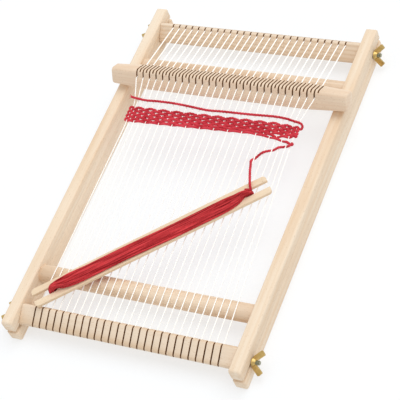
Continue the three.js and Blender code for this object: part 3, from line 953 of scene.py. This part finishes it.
def addHeddle():
    bm = boxMesh((heddle["length"], heddle["depth"], heddle["face"]))
    half = heddle["length"] / 2
    for x in (half - heddle["taperLength"], -half + heddle["taperLength"]):
        whole = bm.verts[:] + bm.edges[:] + bm.faces[:]
        bmesh.ops.bisect_plane(bm, geom=whole, plane_co=(x, 0, 0), plane_no=(1, 0, 0))
    for v in bm.verts:
        if abs(v.co.x) > half - 1:
            v.co.y *= 1 - heddle["taper"] / (heddle["depth"] / 2)
            v.co.z *= 1 - heddle["taper"] / (heddle["face"] / 2)
    roundEdges(bm, [e for e in bm.edges if abs(e.verts[0].co.x - e.verts[1].co.x) > 1], heddle["round"], 6)
    ends = [e for e in bm.edges if all(abs(abs(v.co.x) - half) < 1e-3 for v in e.verts)]
    roundEdges(bm, ends, heddle["end"], 4)
    cutters = bmesh.new()
    for x in threadX:
        for offset, depth in ((0, heddle["deep"]), (warp["pitch"] / 2, heddle["shallow"])):
            middle = x + offset + warp["heddleShift"] - heddle["place"][0]
            sawCut(cutters, middle, heddle["slotWidth"], depth, heddle["face"] / 2, 2)
    place = Matrix.Translation(heddle["place"]) @ Matrix.Rotation(math.radians(heddle["lean"]), 4, "X")
    piece = finishWood("heddle_bar_wood", bm, place, heddleBeech, cutters, heddle["cutEdge"], slotShade=True)
    dress(piece, None, "heddle_beech", "heddle", "heddle_bar")
    print("heddle bar cut")


def addStick():
    bm = boxMesh((stick["length"], stick["width"], stick["thickness"]))
    roundEdges(bm, edgesAlong(bm, 2), stick["cornerRound"], 6)
    inner = stick["length"] / 2 - stick["notchDepth"]
    cutters = endSlots((cutOut, stick["notchWidth"], cutThrough), inner, 0, 1, 12)
    piece = finishWood("stick_wood", bm, stickMatrix, stickBeech, cutters, stick["edge"])
    dress(piece, None, "stick_beech", "shuttle", "shuttle")
    print("stick notched")


addRails()
addBeams()
addDowels()
addHeddle()
addStick()


# Wing nuts and bolts
def stampedBrass():
    # Brass wing nuts, hot stamped and tumbled: warm yellow metal, a little dulled, with fine marks
    material, tree, shader = newMaterial("stampedBrass")
    place = addNode(tree, "ShaderNodeTexCoord").outputs["Object"]
    dull = addNode(tree, "ShaderNodeTexNoise", {"Vector": place, "Scale": 1 / (2.5 * mm), "Detail": 4.0})
    colour = addNode(tree, "ShaderNodeMix", {
        "Factor": dull.outputs[0], "A": linearColour("#e9ca84"), "B": linearColour("#b2965a"),
    }, data_type="RGBA")
    rough = addNode(tree, "ShaderNodeMapRange", {"Value": dull.outputs[0], "To Min": 0.3, "To Max": 0.5})
    bump = addNode(tree, "ShaderNodeBump", {"Strength": 0.2, "Distance": 0.1 * mm, "Height": dull.outputs[0]})
    setInputs(tree, shader, {
        "Base Color": colour.outputs["Result"],
        "Roughness": rough.outputs[0],
        "Normal": bump.outputs[0],
        "Metallic": 1.0,
    })
    return material


def platedSteel():
    # Steel bolts, rolled thread and zinc plated: grey with a faint green yellow cast
    material, tree, shader = newMaterial("platedSteel")
    place = addNode(tree, "ShaderNodeTexCoord").outputs["Object"]
    cast = addNode(tree, "ShaderNodeTexNoise", {"Vector": place, "Scale": 1 / (1.5 * mm), "Detail": 3.0})
    colour = addNode(tree, "ShaderNodeMix", {
        "Factor": cast.outputs[0], "A": linearColour("#b9b8a2"), "B": linearColour("#94967f"),
    }, data_type="RGBA")
    setInputs(tree, shader, {
        "Base Color": colour.outputs["Result"],
        "Metallic": 1.0,
        "Roughness": 0.33,
    })
    return material


brassMaterial = stampedBrass()
steelMaterial = platedSteel()
nut = {
    "turns": {"near_right": 30, "far_right": 58, "near_left": -6, "far_left": -10},
    "seat": 125.3,
    "hubRadius": 4.2,
    "hubTop": 3.0,  # the hub's radius at its outer end
    "hubHeight": 3.8,
    "bore": 2.25,
    "drill": 40,
    "sink": (0.2, 0.3),  # at both ends of the bore
    "foot": 0.3,
    "shoulder": (0.9, 0.7),
    "reach": 8.3,
    "rise": 7.7,
    "earWidth": 4.9,
    "earThickness": 2.7,
    "earRound": 0.9,
    "tip": (1, 1.06, 0.86),  # an ear's end against its foot: wider and thinner
    "edge": 0.35,
}
bolt = {"radius": 2.2, "core": 1.8, "pitch": 0.7, "inner": 99.0, "outer": 132.8, "point": 0.6, "steps": 20}


def nutMesh():
    height, radius, bore = nut["hubHeight"], nut["hubRadius"], nut["bore"]
    sinkDepth, sinkWidth = nut["sink"]
    drop, inwards = nut["shoulder"]
    profile = [
        (sinkDepth, bore), (0, bore + sinkWidth), (0, radius - nut["foot"]), (nut["foot"], radius),
        (height - drop, radius - inwards), (height, nut["hubTop"]), (height, bore + sinkWidth),
        (height - sinkDepth, bore),
    ]
    hub = bmesh.new()
    ring = [hub.verts.new((x, r, 0)) for x, r in profile]
    edges = [hub.edges.new((a, b)) for a, b in zip(ring, ring[1:] + ring[:1])]
    bmesh.ops.spin(hub, geom=ring + edges, cent=(0, 0, 0), axis=(1, 0, 0), angle=2 * math.pi, steps=40,
                   use_merge=True)
    bmesh.ops.remove_doubles(hub, verts=hub.verts, dist=0.001)
    bmesh.ops.recalc_face_normals(hub, faces=hub.faces)
    body = temporary(hub, "nutHub")
    foot = Vector((nut["hubHeight"] / 2, nut["hubTop"], 0))
    tip = Vector((nut["rise"], nut["reach"], 0))
    length = (tip - foot).length + nut["earWidth"] / 2
    lean = math.atan2(tip.y - foot.y, tip.x - foot.x)
    tools = []
    for side in (0, math.pi):
        ear = boxMesh((length, nut["earWidth"], nut["earThickness"]), (length / 2, 0, 0))
        for v in ear.verts:
            if v.co.x > length - 0.1:
                v.co = [value * share for value, share in zip(v.co, nut["tip"])]
        roundEdges(ear, edgesAlong(ear, 2), nut["earRound"], 3)
        place = Matrix.Rotation(side, 4, "X") @ Matrix.Translation(foot) @ Matrix.Rotation(lean, 4, "Z")
        bmesh.ops.transform(ear, verts=ear.verts, matrix=place)
        tools.append(temporary(ear, "nutEar"))
        cut(body, tools[-1], "UNION")
    drill = bmesh.new()
    addRod(drill, nut["bore"], nut["drill"], sides=40)
    tools.append(temporary(drill, "nutDrill"))
    cut(body, tools[-1])
    soften(body, nut["edge"], 3, 38)
    made = meshOf(body, "nutMade")
    mesh = made.data
    for thing in [made, body] + tools:
        bpy.data.objects.remove(thing)
    smoothFaces(mesh, 35)
    return mesh


def boltMesh():
    bm = bmesh.new()
    start, length = bolt["inner"], bolt["outer"] - bolt["inner"]
    line = []
    for k in range(round((length - bolt["point"]) / bolt["pitch"])):
        line.append(bm.verts.new((start + k * bolt["pitch"], bolt["core"], 0)))
        line.append(bm.verts.new((start + (k + 0.5) * bolt["pitch"], bolt["radius"], 0)))
    edges = [bm.edges.new((a, b)) for a, b in zip(line, line[1:])]
    climb = (bolt["pitch"] / bolt["steps"], 0, 0)
    bmesh.ops.spin(bm, geom=line + edges, cent=(0, 0, 0), axis=(1, 0, 0), dvec=climb, angle=2 * math.pi,
                   steps=bolt["steps"], use_merge=False)
    bmesh.ops.remove_doubles(bm, verts=bm.verts, dist=0.02)
    addRod(bm, bolt["core"] + 0.05, length, ((bolt["outer"] + bolt["inner"]) / 2, 0, 0), sides=20)
    bmesh.ops.recalc_face_normals(bm, faces=bm.faces)
    mesh = bpy.data.meshes.new("boltMade")
    bm.to_mesh(mesh)
    bm.free()
    smoothFaces(mesh, 40)
    return mesh


def addHardware():
    nutMade, boltMade = nutMesh(), boltMesh()
    scale = Matrix.Diagonal((mm, mm, mm, 1))
    for name, turn in nut["turns"].items():
        end, hand = name.split("_")
        side = 1 if hand == "right" else -1
        y = -beam["span"] / 2 if end == "near" else beam["span"] / 2
        flip = Matrix.Identity(4) if side > 0 else Matrix.Rotation(math.pi, 4, "Z")
        seat = Matrix.Translation((side * nut["seat"], y, beam["height"]))
        mesh = nutMade.copy()
        mesh.transform(scale @ seat @ Matrix.Rotation(math.radians(turn), 4, "X") @ flip)
        piece = addObject(name + "_nut_brass", mesh)
        dress(piece, brassMaterial, "nut_brass", name + "_nut", name + "_wing_nut")
        mesh = boltMade.copy()
        mesh.transform(scale @ Matrix.Translation((0, y, beam["height"])) @ flip)
        piece = addObject(name + "_bolt_steel", mesh)
        dress(piece, steelMaterial, "zinc_steel", end + "_beam", name + "_bolt")
    print("nuts and bolts made")


addHardware()


# Floor and light
studio = {
    "floor": 6.0,
    "drop": 0.0002,
    "world": 0.72,
    "key": 1.2,
    "keyAngle": 55,
    "keyFrom": (0.25, 0.35, 0.9),
    "glow": 0.6,  # of the floor as the eye sees it, and as it falls on the frame
    "bounce": 0.5,
}


def addStudio():
    bm = bmesh.new()
    bmesh.ops.create_grid(bm, x_segments=1, y_segments=1, size=studio["floor"] / 2)
    mesh = bpy.data.meshes.new("floor")
    bm.to_mesh(mesh)
    bm.free()
    floor = addObject("floor", mesh)
    mesh.transform(Matrix.Translation((0, 0, -studio["drop"])))
    # Matt paper, lit so evenly that it hardly takes a shadow
    material, tree, shader = newMaterial("paperFloor")
    seen = addNode(tree, "ShaderNodeLightPath").outputs["Is Camera Ray"]
    glow = addNode(tree, "ShaderNodeMapRange", {
        "Value": seen, "To Min": studio["bounce"], "To Max": studio["glow"],
    })
    setInputs(tree, shader, {
        "Base Color": linearColour("#a5a8ab"),
        "Roughness": 0.9,
        "Specular IOR Level": 0.1,
        "Emission Color": (1, 1, 1, 1),
        "Emission Strength": glow.outputs[0],
    })
    mesh.materials.append(material)
    world = bpy.data.worlds.new("studio")
    bpy.context.scene.world = world
    world.use_nodes = True
    tree = world.node_tree
    seen = addNode(tree, "ShaderNodeLightPath").outputs["Is Camera Ray"]
    level = addNode(tree, "ShaderNodeMapRange", {"Value": seen, "To Min": studio["world"], "To Max": 1.0})
    setInputs(tree, tree.nodes["Background"], {"Color": (1, 1, 1, 1), "Strength": level.outputs[0]})
    light = bpy.data.lights.new("key", "SUN")
    light.energy = studio["key"]
    light.angle = math.radians(studio["keyAngle"])
    lamp = addObject("key", light)
    lamp.matrix_world = Vector(studio["keyFrom"]).to_track_quat("Z", "Y").to_matrix().to_4x4()
    bpy.context.scene.view_settings.view_transform = "Standard"
    print("studio lit")


addStudio()
